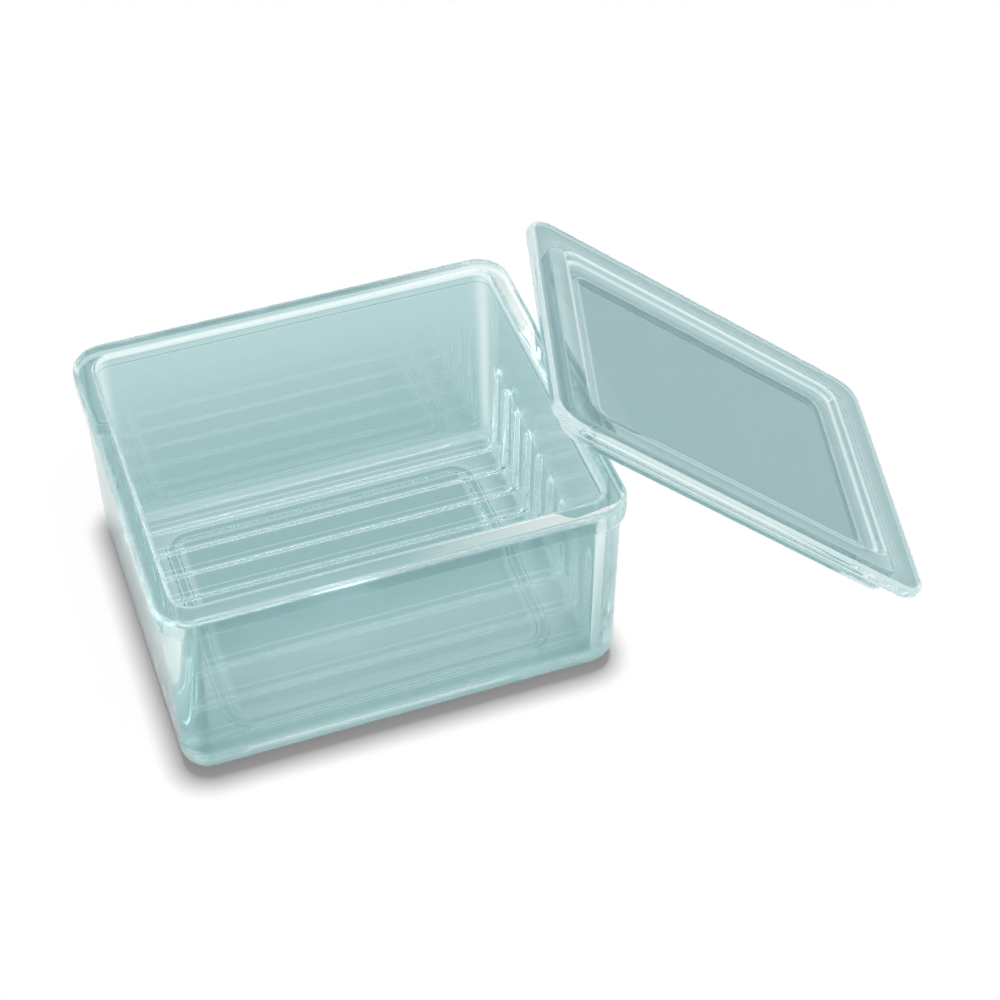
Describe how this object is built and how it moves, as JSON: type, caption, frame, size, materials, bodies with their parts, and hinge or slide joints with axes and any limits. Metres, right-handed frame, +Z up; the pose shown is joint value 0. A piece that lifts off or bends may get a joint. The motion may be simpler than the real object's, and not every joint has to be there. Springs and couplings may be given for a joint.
{
  "type": "slide staining jar",
  "caption": "Rectangular clear glass staining dish with ribbed slide guides and a flat lid that leans on its rim",
  "frame": {"origin": "middle of the jar's foot, on the table", "axes": "X runs along the jar's long side towards the lid, Y to the back, Z up"},
  "size_m": [0.1584, 0.0932, 0.0575],
  "materials": {
    "glass": "polished"
  },
  "bodies": {
    "root": {"jar": "glass", "lid": "glass"}
  },
  "joints": []
}
